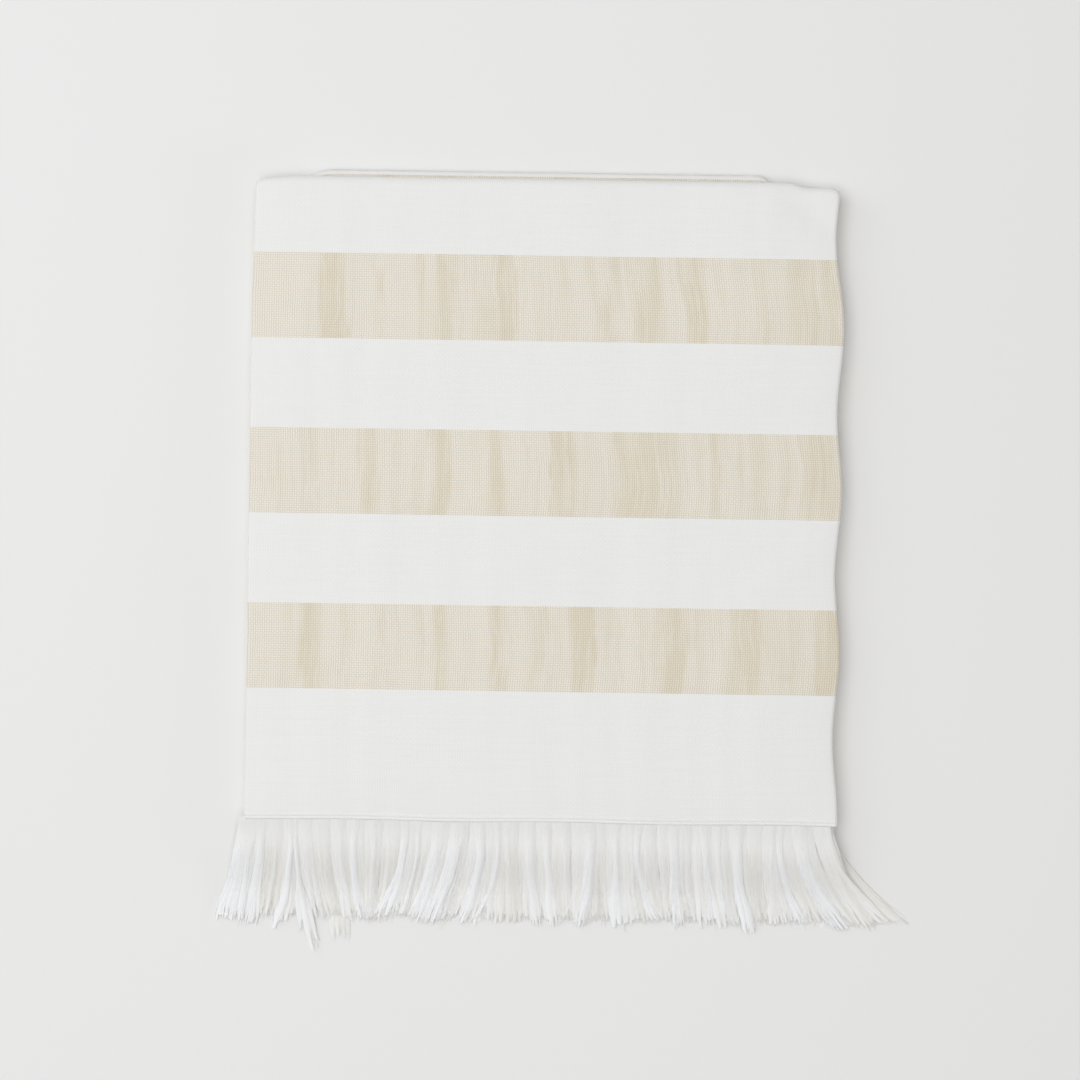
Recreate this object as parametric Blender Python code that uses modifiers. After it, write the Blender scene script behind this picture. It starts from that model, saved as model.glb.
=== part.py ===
"""A fringed Turkish towel, folded in thirds across its width and then back and forth in four.

Run it with blender --background --python part.py, or from Blender's text editor. Metres, +Z up.
+X runs to the right across the folded towel and +Y away from its fringe. The origin is the middle of
the underside. The cloth and each of the two fringes is one grid: the functions below fold it, and a
Solidify modifier gives it its thickness.
"""

import math
from collections import namedtuple

import bmesh
import bpy

MM = 0.001

# The cloth
CLOTH_THICKNESS = 1.05 * MM
FOLDED_WIDTH = 334.0 * MM
SELVEDGE_INSET = 5.0 * MM

# How closely the layers lie: those of the letter fold, then the four sections on each other
LAYER_GAP = 0.25 * MM
SECTION_GAP = 0.4 * MM
SECTION_COUNT = 4
NOSE_STRETCH = 1.3

# Where the two hemmed ends lie
FRONT_HEM_Y = -182.0 * MM
BACK_HEM_Y = -180.0 * MM

# The soft crown of the pile, as a share of its height, and its unevenness as a share of the crown
CROWN = 0.10
CROWN_REACH = 26.0 * MM
CROWN_WAVE = 0.22
CROWN_WAVE_LENGTH_X = 170.0 * MM
CROWN_WAVE_LENGTH_Y = 230.0 * MM

# How far from a fold its pulled-back corners and its narrowing are still felt
PULL_FADE = 36.0 * MM
INSET_FADE = 75.0 * MM
SIDE_WAVE_LENGTH = 92.0 * MM

# The fringe
STRIP_GAP = 0.3 * MM
STRIP_LENGTH = 3.0 * MM
LOCKS_PER_PANEL = 28
LOCK_GAP = 0.8 * MM
LOCK_ROWS = 3
LOCK_TIP_THICKNESS = 0.6 * MM
LOCK_TIP_WIDTH = 0.3
LOCK_SWAY = 1.6 * MM
LOCK_TURN = 2.4
LEAN_POWER = 1.6
TIP_UNEVENNESS = 3.0 * MM
LONG_LOCK_EXTRA = 15.0 * MM
SPLAY_REACH = 42.0 * MM
DROP_START = 9.0 * MM
DROP_END = 46.0 * MM

CLOTH_COLOUR = (0.80, 0.77, 0.70, 1.0)
YARN_COLOUR = (0.86, 0.85, 0.82, 1.0)
COTTON_ROUGHNESS = 0.9

# How finely each stretch of the folded section is divided, and how much finer near its ends
END_CROWDING = 0.75
PANEL_COLUMNS = 8
SIDE_FOLD_COLUMNS = 4
SECTION_ROWS = 11
FOLD_ROWS = 4

# The three cross folds. Each one's corners are pulled back and its sides narrow towards it.
Fold = namedtuple("Fold", "apex_y facing left_pull right_pull left_reach right_reach left_inset right_inset")
FOLDS = (
    Fold(182.0 * MM, 1, 3.8 * MM, 4.4 * MM, 20.0 * MM, 26.0 * MM, 2.6 * MM, 6.2 * MM),
    Fold(-194.0 * MM, -1, 2.0 * MM, 2.4 * MM, 22.0 * MM, 24.0 * MM, 0.8 * MM, 1.0 * MM),
    Fold(187.5 * MM, 1, 9.5 * MM, 10.5 * MM, 44.0 * MM, 50.0 * MM, 2.8 * MM, 6.6 * MM),
)

# The four sections, from the top one down. Their sides don't line up, and the right one waves.
Section = namedtuple("Section", "left_shift right_shift wave wave_phase")
SECTIONS = (
    Section(0.0 * MM, 0.0 * MM, 1.6 * MM, 1.16),
    Section(0.5 * MM, 0.9 * MM, 1.0 * MM, 2.4),
    Section(0.9 * MM, 1.3 * MM, 1.2 * MM, 4.1),
    Section(-0.4 * MM, 0.8 * MM, 0.8 * MM, 5.2),
)

# The fringe of each panel at each end, lowest first: how long it is, how it fans out at its sides, and
# the number of the lock that hangs out further, if there is one
Fringe = namedtuple("Fringe", "panel length left_splay right_splay wave wave_phase long_lock")
BACK_FRINGE = (
    Fringe("outer", 56.0 * MM, 10.0 * MM, 14.0 * MM, 2.2 * MM, 0.4, None),
    Fringe("inner", 57.0 * MM, 14.0 * MM, 22.0 * MM, 2.6 * MM, 2.0, 4),
    Fringe("back", 58.0 * MM, 12.0 * MM, 44.0 * MM, 2.4 * MM, 3.9, None),
)
FRONT_FRINGE = (
    Fringe("back", 58.0 * MM, 16.0 * MM, 26.0 * MM, 2.4 * MM, 5.1, None),
    Fringe("inner", 58.0 * MM, 20.0 * MM, 20.0 * MM, 2.6 * MM, 1.1, None),
    Fringe("outer", 57.0 * MM, 21.5 * MM, 20.0 * MM, 3.0 * MM, 3.0, None),
)

LAYER_STEP = CLOTH_THICKNESS + LAYER_GAP
SECTION_HEIGHT = 2 * LAYER_STEP + CLOTH_THICKNESS
SECTION_STEP = SECTION_HEIGHT + SECTION_GAP
NOSE_DEPTH = NOSE_STRETCH * (SECTION_HEIGHT + SECTION_GAP / 2)

# The letter fold: the inner panel lies between the back one and the outer one. A height is measured
# from the free side of the back panel.
PANEL_HEIGHT = {
    "back": CLOTH_THICKNESS / 2,
    "inner": CLOTH_THICKNESS / 2 + LAYER_STEP,
    "outer": CLOTH_THICKNESS / 2 + 2 * LAYER_STEP,
}
TIGHT_RADIUS = LAYER_STEP / 2
WIDE_RADIUS = LAYER_STEP
LEFT_X = -FOLDED_WIDTH / 2 + NOSE_STRETCH * (TIGHT_RADIUS + CLOTH_THICKNESS / 2)
RIGHT_X = FOLDED_WIDTH / 2 - NOSE_STRETCH * (WIDE_RADIUS + CLOTH_THICKNESS / 2)
PANEL_ENDS = {
    "back": (RIGHT_X, LEFT_X + SELVEDGE_INSET),
    "outer": (RIGHT_X, LEFT_X),
    "inner": (LEFT_X, RIGHT_X - NOSE_STRETCH * TIGHT_RADIUS),
}

# A row of the folded length: where height 0 lies, how y and z change with height, which section it
# belongs to (between two of them in a fold), and how far each fold near it is.
Row = namedtuple("Row", "y z y_per_height z_per_height section near")


def clamped(value):
    return min(max(value, 0.0), 1.0)


def smooth(value):
    """0 to 1 with a level start and end"""
    share = clamped(value)
    return share * share * (3.0 - 2.0 * share)


def rounded(value):
    """0 to 1 like the side of a cushion: steep at first, level at the end"""
    return 1.0 - (1.0 - clamped(value)) ** 2


def mixed(start, end, share):
    return start + (end - start) * share


def spread(count):
    """Shares from 0 to 1 that lie closer together near both ends"""
    even = [step / count for step in range(count + 1)]
    return [mixed(share, (1.0 - math.cos(math.pi * share)) / 2, END_CROWDING) for share in even]


def half_turn(count):
    """Angles from +90 to -90 degrees, without the two ends"""
    return [math.pi * (0.5 - step / count) for step in range(1, count)]


def panel_columns(panel):
    start, end = PANEL_ENDS[panel]
    return [(mixed(start, end, share), PANEL_HEIGHT[panel]) for share in spread(PANEL_COLUMNS)]


def side_fold_columns(x, height, radius, side):
    """The (x, height) points round a side fold, from its upper layer to its lower one"""
    columns = []
    for angle in half_turn(SIDE_FOLD_COLUMNS):
        outwards = side * NOSE_STRETCH * radius * math.cos(angle)
        columns.append((x + outwards, height + radius * math.sin(angle)))
    return columns


def wide_fold_columns():
    middle = PANEL_HEIGHT["back"] + WIDE_RADIUS
    return side_fold_columns(RIGHT_X, middle, WIDE_RADIUS, 1)


def tight_fold_columns():
    middle = PANEL_HEIGHT["inner"] + TIGHT_RADIUS
    return side_fold_columns(LEFT_X, middle, TIGHT_RADIUS, -1)


def letter_columns():
    """The letter fold's section from the back panel's free edge to the inner panel's"""
    back = list(reversed(panel_columns("back")))
    wide_fold = list(reversed(wide_fold_columns()))
    return back + wide_fold + panel_columns("outer") + tight_fold_columns() + panel_columns("inner")


def section_low_z(index):
    return (SECTION_COUNT - 1 - index) * SECTION_STEP


def section_z(index):
    """The z of height 0 in a section. Sections 0 and 2 lie face up, 1 and 3 face down."""
    low = section_low_z(index)
    return low if index % 2 == 0 else low + SECTION_HEIGHT


def section_rows(index, start_y, end_y):
    upwards = 1 if index % 2 == 0 else -1
    rows = []
    for share in spread(SECTION_ROWS):
        y = mixed(start_y, end_y, share)
        near = [(FOLDS[fold], abs(y - fold_y(fold))) for fold in (index - 1, index) if 0 <= fold < len(FOLDS)]
        rows.append(Row(y, section_z(index), 0.0, upwards, float(index), near))
    return rows


def fold_y(index):
    """Where the straight sections end and the fold begins"""
    fold = FOLDS[index]
    return fold.apex_y - fold.facing * NOSE_DEPTH


def fold_rows(index):
    """A fold turns round a line halfway between its two sections: the upper one, then the lower one"""
    fold = FOLDS[index]
    middle_z = section_low_z(index) - SECTION_GAP / 2
    back_panel_inside = fold.facing > 0
    first_radius = SECTION_GAP / 2 if back_panel_inside else SECTION_GAP / 2 + SECTION_HEIGHT
    growth = 1 if back_panel_inside else -1
    rows = []
    for step, angle in enumerate(half_turn(FOLD_ROWS), 1):
        outwards = fold.facing * NOSE_STRETCH * math.cos(angle)
        upwards = math.sin(angle)
        y = fold_y(index) + outwards * first_radius
        z = middle_z + upwards * first_radius
        section = index + step / FOLD_ROWS
        rows.append(Row(y, z, outwards * growth, upwards * growth, section, [(fold, 0.0)]))
    return rows


def length_rows():
    """The folded length from the front hem on top to the back hem below"""
    ends = [FRONT_HEM_Y] + [fold_y(index) for index in range(len(FOLDS))] + [BACK_HEM_Y]
    rows = section_rows(0, ends[0], ends[1])
    for index in range(len(FOLDS)):
        rows += fold_rows(index)
        rows += section_rows(index + 1, ends[index + 1], ends[index + 2])
    return rows


def side_shift(section, y):
    """How far the left and the right side of a section lie from their straight lines"""
    upper = SECTIONS[math.floor(section)]
    lower = SECTIONS[math.ceil(section)]
    share = section - math.floor(section)
    shifts = []
    for row in (upper, lower):
        wave = row.wave * math.sin(2 * math.pi * y / SIDE_WAVE_LENGTH + row.wave_phase)
        shifts.append((row.left_shift, row.right_shift + wave))
    return mixed(shifts[0][0], shifts[1][0], share), mixed(shifts[0][1], shifts[1][1], share)


def crowned(x, y, z):
    """The height once the pile's soft crown is added: none at the floor, most at the top"""
    to_side = rounded((FOLDED_WIDTH / 2 - abs(x)) / CROWN_REACH)
    to_hem = rounded((y - FRONT_HEM_Y) / CROWN_REACH)
    to_fold = rounded((FOLDS[0].apex_y - y) / CROWN_REACH)
    wave = math.sin(2 * math.pi * x / CROWN_WAVE_LENGTH_X) * math.cos(2 * math.pi * y / CROWN_WAVE_LENGTH_Y)
    lift = CROWN * to_side * to_hem * to_fold * (1.0 + CROWN_WAVE * wave)
    floor = CLOTH_THICKNESS / 2
    return floor + (z - floor) * (1.0 + lift)


def folded(row, x, height):
    """Where a point of the letter fold lies in the folded towel"""
    y = row.y + row.y_per_height * height
    z = row.z + row.z_per_height * height
    from_left = x + FOLDED_WIDTH / 2
    from_right = FOLDED_WIDTH / 2 - x
    left_shift, right_shift = side_shift(row.section, y)
    shift_y = 0.0
    for fold, distance in row.near:
        narrowing = 1.0 - smooth(distance / INSET_FADE)
        left_shift += fold.left_inset * narrowing
        right_shift -= fold.right_inset * narrowing
        corners = fold.left_pull * (1.0 - smooth(from_left / fold.left_reach))
        corners += fold.right_pull * (1.0 - smooth(from_right / fold.right_reach))
        shift_y -= fold.facing * corners * (1.0 - smooth(distance / PULL_FADE))
    shift_x = mixed(left_shift, right_shift, from_left / FOLDED_WIDTH)
    return x + shift_x, y + shift_y, crowned(x, y, z)


def keep_all(corner_columns, corner_rows):
    return True


def folded_grid(name, columns, rows, place, keep=keep_all):
    """A grid with a corner for each column and row, put in place, without the faces that keep refuses"""
    mesh = bpy.data.meshes.new(name)
    grid = bmesh.new()
    bmesh.ops.create_grid(grid, x_segments=len(columns) - 1, y_segments=len(rows) - 1, size=0.5)
    thickness = grid.verts.layers.deform.verify()
    column_of = {corner: columns[round((corner.co.x + 0.5) * (len(columns) - 1))] for corner in grid.verts}
    row_of = {corner: rows[round((corner.co.y + 0.5) * (len(rows) - 1))] for corner in grid.verts}
    spare = []
    for face in grid.faces:
        corners = list(face.verts)
        if not keep([column_of[corner] for corner in corners], [row_of[corner] for corner in corners]):
            spare.append(face)
    bmesh.ops.delete(grid, geom=spare, context="FACES")
    for corner in grid.verts:
        corner.co, corner[thickness][0] = place(column_of[corner], row_of[corner])
    grid.to_mesh(mesh)
    grid.free()
    return bpy.data.objects.new(name, mesh)


def thicken(piece):
    """Half the cloth's thickness on each side, less where the vertex group says so"""
    group = piece.vertex_groups.new(name="thickness")
    solidify = piece.modifiers.new("Cloth thickness", "SOLIDIFY")
    solidify.thickness = CLOTH_THICKNESS
    solidify.offset = 0.0
    solidify.use_even_offset = True
    solidify.vertex_group = group.name


def towel_cloth():
    """The whole cloth as one sheet"""

    def place(column, row):
        return folded(row, *column), 1.0

    piece = folded_grid("towel_cloth", letter_columns(), length_rows(), place)
    thicken(piece)
    return piece


# A column of the fringe: the panel it hangs from (none in a side fold), its lock's number and middle,
# then its own place in the letter fold. Each lock has two of them.
LockSide = namedtuple("LockSide", "panel lock middle x height")


def lock_columns(panel):
    """Two columns for each lock, with a gap before the next one"""
    start, end = PANEL_ENDS[panel]
    direction = 1 if end > start else -1
    pitch = abs(end - start) / LOCKS_PER_PANEL
    half_width = (pitch - LOCK_GAP) / 2
    columns = []
    for lock in range(LOCKS_PER_PANEL):
        middle = start + direction * (lock + 0.5) * pitch
        for side in (-direction, direction):
            columns.append(LockSide(panel, lock, middle, middle + side * half_width, PANEL_HEIGHT[panel]))
    return columns


def bare_columns(columns):
    """The columns of a side fold, where no lock hangs"""
    return [LockSide(None, None, x, x, height) for x, height in columns]


def fringe_columns():
    back = list(reversed(lock_columns("back")))
    wide_fold = bare_columns(reversed(wide_fold_columns()))
    tight_fold = bare_columns(tight_fold_columns())
    return back + wide_fold + lock_columns("outer") + tight_fold + lock_columns("inner")


def lock_thickness(along):
    return mixed(CLOTH_THICKNESS, LOCK_TIP_THICKNESS, smooth(along))


def bundle_height(along):
    """How high the fringe of the three panels at one end piles up"""
    return len(PANEL_HEIGHT) * (lock_thickness(along) + LAYER_GAP)


def floor_height(along):
    return 0.0


def lock_spread(fringe, x, along):
    """How far a fringe leans sideways at this share of its length"""
    lean = along ** LEAN_POWER
    left = fringe.left_splay * (1.0 - smooth((x + FOLDED_WIDTH / 2) / SPLAY_REACH))
    right = fringe.right_splay * (1.0 - smooth((FOLDED_WIDTH / 2 - x) / SPLAY_REACH))
    wave = fringe.wave * math.sin(2 * math.pi * x / SIDE_WAVE_LENGTH + fringe.wave_phase)
    return lean * (right - left + wave)


def lock_place(fringe, order, column, along, hem_y, root_z, rest_z):
    """A lock's corner: it narrows towards the tip, leans sideways and comes down to rest_z"""
    x = column.middle + (column.x - column.middle) * mixed(1.0, LOCK_TIP_WIDTH, along ** 2)
    wander = math.sin(LOCK_TURN * column.lock + fringe.wave_phase)
    length = fringe.length + TIP_UNEVENNESS * wander
    if column.lock == fringe.long_lock:
        length += LONG_LOCK_EXTRA
    reach = length * along
    thickness = lock_thickness(along)
    drop = smooth((reach - DROP_START) / (DROP_END - DROP_START))
    low_z = mixed(root_z, rest_z, drop) + order * (thickness + LAYER_GAP)
    leaning_x = x + lock_spread(fringe, x, along) + LOCK_SWAY * wander * along ** 2
    return leaning_x, hem_y - STRIP_GAP - STRIP_LENGTH - reach, low_z + thickness / 2


def fringe_end(name, fringes, hem_row, root_z, rest_z):
    """One end's fringe: a strip with the letter fold's section, and the locks that hang from it"""
    order_of = {fringe.panel: (order, fringe) for order, fringe in enumerate(fringes)}
    rows = [("strip", 0.0), ("strip", 1.0)]
    rows += [("lock", (step + 1) / LOCK_ROWS) for step in range(LOCK_ROWS)]

    def place(column, fringe_row):
        kind, along = fringe_row
        if kind == "lock" and column.panel:
            order, fringe = order_of[column.panel]
            corner = lock_place(fringe, order, column, along, hem_row.y, root_z, rest_z(along))
            return corner, lock_thickness(along) / CLOTH_THICKNESS
        x, y, z = folded(hem_row, column.x, column.height)
        return (x, y - STRIP_GAP - STRIP_LENGTH * along, z), 1.0

    def keep(corner_columns, corner_rows):
        """The whole strip, and beyond it only what lies between the two sides of one lock"""
        in_strip = all(kind == "strip" for kind, along in corner_rows)
        locks = {(column.panel, column.lock) for column in corner_columns}
        in_side_fold = any(column.panel is None for column in corner_columns)
        return in_strip or (len(locks) == 1 and not in_side_fold)

    piece = folded_grid(name, fringe_columns(), rows, place, keep)
    thicken(piece)
    return piece


def front_fringe():
    """It hangs over the fold below it and comes down onto the back end's fringe"""
    hem_row = length_rows()[0]
    return fringe_end("fringe_front", FRONT_FRINGE, hem_row, section_low_z(0), bundle_height)


def back_fringe():
    """It lies level on the surface that the towel rests on"""
    hem_row = length_rows()[-1]
    return fringe_end("fringe_back", BACK_FRINGE, hem_row, section_low_z(SECTION_COUNT - 1), floor_height)


def cotton(name, colour):
    material = bpy.data.materials.new(name)
    material.use_nodes = True
    shader = material.node_tree.nodes["Principled BSDF"]
    shader.inputs["Base Color"].default_value = colour
    shader.inputs["Roughness"].default_value = COTTON_ROUGHNESS
    shader.inputs["Metallic"].default_value = 0.0
    return material


def main():
    for item in list(bpy.data.objects):
        bpy.data.objects.remove(item)
    collection = bpy.data.collections.new("Turkish towel")
    bpy.context.scene.collection.children.link(collection)
    finishes = (
        (towel_cloth(), "Woven cotton", CLOTH_COLOUR),
        (front_fringe(), "Front fringe yarn", YARN_COLOUR),
        (back_fringe(), "Back fringe yarn", YARN_COLOUR),
    )
    for piece, finish, colour in finishes:
        piece.data.materials.append(cotton(finish, colour))
        collection.objects.link(piece)


main()
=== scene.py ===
import math
from collections import namedtuple

import bpy
import numpy as np
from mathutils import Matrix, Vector, noise


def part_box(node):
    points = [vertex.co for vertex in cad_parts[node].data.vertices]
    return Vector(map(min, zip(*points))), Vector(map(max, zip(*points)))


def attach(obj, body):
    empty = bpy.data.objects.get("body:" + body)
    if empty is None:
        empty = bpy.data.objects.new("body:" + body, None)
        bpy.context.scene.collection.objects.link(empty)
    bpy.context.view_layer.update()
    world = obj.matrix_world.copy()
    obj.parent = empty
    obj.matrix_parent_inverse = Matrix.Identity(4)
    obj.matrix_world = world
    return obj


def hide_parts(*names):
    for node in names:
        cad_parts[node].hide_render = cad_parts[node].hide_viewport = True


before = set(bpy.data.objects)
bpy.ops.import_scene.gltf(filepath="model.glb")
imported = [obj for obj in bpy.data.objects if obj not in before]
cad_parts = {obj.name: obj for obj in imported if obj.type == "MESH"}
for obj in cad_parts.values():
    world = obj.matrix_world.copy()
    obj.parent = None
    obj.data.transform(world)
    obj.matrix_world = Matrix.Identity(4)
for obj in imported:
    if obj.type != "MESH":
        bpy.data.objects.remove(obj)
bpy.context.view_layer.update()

# A fringed Turkish towel, folded in thirds across its width and then back and forth in four.
# Metres. +X runs to the right across the folded towel, +Y away from the fringe that shows.

mm = 0.001
print("frame loaded:", ", ".join(sorted(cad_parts)))


def clamped(value):
    return np.clip(value, 0.0, 1.0)


def smooth(value):  # 0 to 1 with a level start and end
    share = clamped(value)
    return share * share * (3.0 - 2.0 * share)


def eased(value, start, reach):  # from 0 at the start to 1 where the reach ends
    return smooth((value - start) / reach)


def rounded(value):  # 0 to 1 like the side of a cushion
    return 1.0 - (1.0 - clamped(value)) ** 2


def mixed(start, end, share):
    return start + (end - start) * share


def bell(distance, reach):  # 1 in the middle, 0 from reach on
    return 1.0 - smooth(np.abs(distance) / reach)


def spread(count, crowding=0.5):  # shares from 0 to 1, closer together near both ends
    even = np.linspace(0.0, 1.0, count + 1)
    return mixed(even, (1.0 - np.cos(math.pi * even)) / 2, crowding)


def halfTurn(count):  # from +90 to -90 degrees, without the two ends
    return np.linspace(math.pi / 2, -math.pi / 2, count + 1)[1:-1]


def fetched(items, key, width=1, kind=float):  # a value or a row of values for each item
    values = np.empty(len(items) * width, dtype=kind)
    items.foreach_get(key, values)
    return values.reshape(-1, width) if width > 1 else values


def only(piece):  # selects one object and makes it active
    bpy.ops.object.select_all(action="DESELECT")
    piece.select_set(True)
    bpy.context.view_layer.objects.active = piece


# Cloth: the fold

cloth = {
    "thickness": 1.05 * mm,
    "foldedWidth": 334 * mm,
    "selvedgeInset": 5 * mm,
    "layerGap": 0.25 * mm,  # between the three panels of the letter fold
    "sectionGap": 0.4 * mm,  # between the four sections
    "noseStretch": 1.3,  # a fold's nose is this much longer than a half circle
    "frontHemY": -182 * mm,
    "backHemY": -180 * mm,
    "crown": 0.10,  # share of the height that the middle of the pile rises
    "crownReach": 26 * mm,
    "crownWave": 0.22,
    "crownWaveX": 170 * mm,
    "crownWaveY": 230 * mm,
    "pullFade": 36 * mm,
    "insetFade": 75 * mm,
    "cornerRadius": 6.5 * mm,
    "cornerDraw": 0.6,
    "sideWaveLength": 92 * mm,
    "outerColumns": 100,
    "hiddenColumns": 24,
    "sideFoldColumns": 10,
    "topRows": 120,
    "hiddenRows": (24, 24, 36),
    "foldRows": 12,
    "hemRows": 20,
    "hemDepth": 4 * mm,
}

cornerKind = namedtuple("cornerKind", "pull reach level inset")  # level: the share of the reach at full pull
foldKind = namedtuple("foldKind", "apexY facing left right")
crossFolds = [foldKind(y * mm, facing, cornerKind(*left), cornerKind(*right)) for y, facing, left, right in (
    (182, 1, (1.4 * mm, 22 * mm, 0.1, 1.4 * mm), (2.7 * mm, 30 * mm, 0.6, 3.2 * mm)),
    (-194, -1, (2.0 * mm, 22 * mm, 0.0, 0.8 * mm), (2.4 * mm, 24 * mm, 0.0, 1.0 * mm)),
    (186.4, 1, (8.5 * mm, 42 * mm, 0.3, 2.8 * mm), (8.5 * mm, 44 * mm, 0.75, 5.0 * mm)),
)]

sectionKind = namedtuple("sectionKind", "leftShift rightShift wave wavePhase")
sections = [  # from the top one down
    sectionKind(0.0 * mm, 0.0 * mm, 1.6 * mm, 1.16),
    sectionKind(0.5 * mm, -0.1 * mm, 1.5 * mm, 1.3),
    sectionKind(0.9 * mm, 0.4 * mm, 1.4 * mm, 1.0),
    sectionKind(-0.4 * mm, -0.3 * mm, 1.2 * mm, 1.2),
]

layerStep = cloth["thickness"] + cloth["layerGap"]
sectionHeight = 2 * layerStep + cloth["thickness"]
sectionStep = sectionHeight + cloth["sectionGap"]
noseDepth = cloth["noseStretch"] * (sectionHeight + cloth["sectionGap"] / 2)
panelHeight = {
    "back": cloth["thickness"] / 2,
    "inner": cloth["thickness"] / 2 + layerStep,
    "outer": cloth["thickness"] / 2 + 2 * layerStep,
}
tightRadius, wideRadius = layerStep / 2, layerStep
leftX = -cloth["foldedWidth"] / 2 + cloth["noseStretch"] * (tightRadius + cloth["thickness"] / 2)
rightX = cloth["foldedWidth"] / 2 - cloth["noseStretch"] * (wideRadius + cloth["thickness"] / 2)
panelEnds = {
    "back": (leftX + cloth["selvedgeInset"], rightX),
    "outer": (rightX, leftX),
    "inner": (leftX, rightX - cloth["noseStretch"] * tightRadius),
}
topZ = (len(sections) - 1) * sectionStep + sectionHeight


def panelPath(panel, count):
    start, end = panelEnds[panel]
    x = mixed(start, end, spread(count))
    return np.stack([x, np.full_like(x, panelHeight[panel])], axis=1)


def sideFoldPath(x, height, radius, side):  # from its upper layer to its lower one
    angle = halfTurn(cloth["sideFoldColumns"])
    outwards = side * cloth["noseStretch"] * radius * np.cos(angle)
    return np.stack([x + outwards, height + radius * np.sin(angle)], axis=1)


def letterPath():  # x and height of the cloth folded in thirds, and the way along it
    path = np.concatenate([
        panelPath("back", cloth["hiddenColumns"]),
        sideFoldPath(rightX, panelHeight["back"] + wideRadius, wideRadius, 1)[::-1],
        panelPath("outer", cloth["outerColumns"]),
        sideFoldPath(leftX, panelHeight["inner"] + tightRadius, tightRadius, -1),
        panelPath("inner", cloth["hiddenColumns"]),
    ])
    return path[:, 0], path[:, 1], wayAlong(path)


def wayAlong(path):  # how far along the flat cloth each point lies
    steps = np.linalg.norm(np.diff(path, axis=0), axis=1)
    return np.concatenate([[0.0], np.cumsum(steps)])


def sectionLowZ(index):
    return (len(sections) - 1 - index) * sectionStep


def foldY(index):  # where the straight sections end and the fold begins
    return crossFolds[index].apexY - crossFolds[index].facing * noseDepth


rowKind = namedtuple("rowKind", "y z yPerHeight zPerHeight section distances")
farAway = 1.0


def sectionRows(index, startY, endY):
    facesUp = index % 2 == 0
    z = sectionLowZ(index) + (0.0 if facesUp else sectionHeight)
    if index == 0:
        y = hemmedSteps(startY, endY, cloth["topRows"])
    elif index == len(sections) - 1:
        y = hemmedSteps(endY, startY, cloth["hiddenRows"][-1])[::-1]
    else:
        y = mixed(startY, endY, spread(cloth["hiddenRows"][index - 1]))
    folds = range(len(crossFolds))
    return [rowKind(place, z, 0.0, 1.0 if facesUp else -1.0, index,
                    [abs(place - foldY(fold)) if fold in (index - 1, index) else farAway for fold in folds])
            for place in y]


def hemmedSteps(hemY, farY, count):  # fine steps over the hem, wider ones beyond it
    fine = np.linspace(hemY, hemY + cloth["hemDepth"], cloth["hemRows"] + 1)[:-1]
    return np.concatenate([fine, np.linspace(hemY + cloth["hemDepth"], farY, count + 1)])


def foldRows(index):  # a half turn round a line midway between its two sections
    fold = crossFolds[index]
    middleZ = sectionLowZ(index) - cloth["sectionGap"] / 2
    inside = fold.facing > 0  # the back panel is the inner one of the turn
    radius = cloth["sectionGap"] / 2 if inside else cloth["sectionGap"] / 2 + sectionHeight
    growth = 1 if inside else -1
    distances = [farAway] * len(crossFolds)
    distances[index] = 0.0
    rows = []
    for step, angle in enumerate(halfTurn(cloth["foldRows"]), 1):
        outwards = fold.facing * cloth["noseStretch"] * math.cos(angle)
        upwards = math.sin(angle)
        rows.append(rowKind(
            foldY(index) + outwards * radius, middleZ + upwards * radius,
            outwards * growth, upwards * growth, index + step / cloth["foldRows"], distances,
        ))
    return rows


def lengthRows():  # from the front hem down to the back hem, and the way along the outer panel
    ends = [cloth["frontHemY"]] + [foldY(index) for index in range(len(crossFolds))] + [cloth["backHemY"]]
    rows = sectionRows(0, ends[0], ends[1])
    for index in range(len(crossFolds)):
        rows += foldRows(index)
        rows += sectionRows(index + 1, ends[index + 1], ends[index + 2])
    outer = panelHeight["outer"]
    path = np.array([(row.y + row.yPerHeight * outer, row.z + row.zPerHeight * outer) for row in rows])
    return rows, wayAlong(path)


# Cloth: soft relief on the fold

creaseKind = namedtuple("creaseKind", "x y alongX alongY reach depth")
creases = [creaseKind(*(value * mm for value in row)) for row in (  # ridges, or troughs if depth is negative
    (136, -40, 26, 22, 16, 0.65), (148, 165, 16, -14, 15, -1.3), (-150, 172, 10, 3, 9, 0.7),
    (-128, 120, 3, 60, 10, -0.40), (-132, 40, -2, 70, 12, -0.28), (30, 90, 4, 70, 16, -0.24),
    (-60, -60, -5, 80, 18, 0.24), (120, 80, 3, 50, 14, 0.24),
)]

relief = {
    "unevenness": 0.38 * mm,
    "streakWidth": 22 * mm,
    "streakLength": 120 * mm,
    "ripple": 0.10 * mm,
    "rippleSize": 9 * mm,
    "streakSeed": 4.7,
    "rippleSeed": 13.7,
    "creaseFade": 1.6,  # a crease fades out this many half lengths from its middle
}

hem = {
    "ridgeAt": 2.4 * mm,
    "ridgeReach": 1.15 * mm,
    "ridgeHeight": 0.38 * mm,
    "edgeAt": 0.55 * mm,
    "edgeReach": 0.7 * mm,
    "edgeHeight": 0.22 * mm,
    "wave": 0.35 * mm,
    "waveLength": 120 * mm,
    "wavePhase": 1.0,
    "waveFade": 32 * mm,
}


def creaseLift(x, y):
    lift = np.zeros_like(x)
    for crease in creases:
        along = np.array([crease.alongX, crease.alongY])
        half = np.linalg.norm(along)
        along = along / half
        lengthways = (x - crease.x) * along[0] + (y - crease.y) * along[1]
        across = (x - crease.x) * along[1] - (y - crease.y) * along[0]
        fade = bell(lengthways, relief["creaseFade"] * half)
        lift = lift + crease.depth * bell(across, crease.reach) * fade
    return lift


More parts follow.
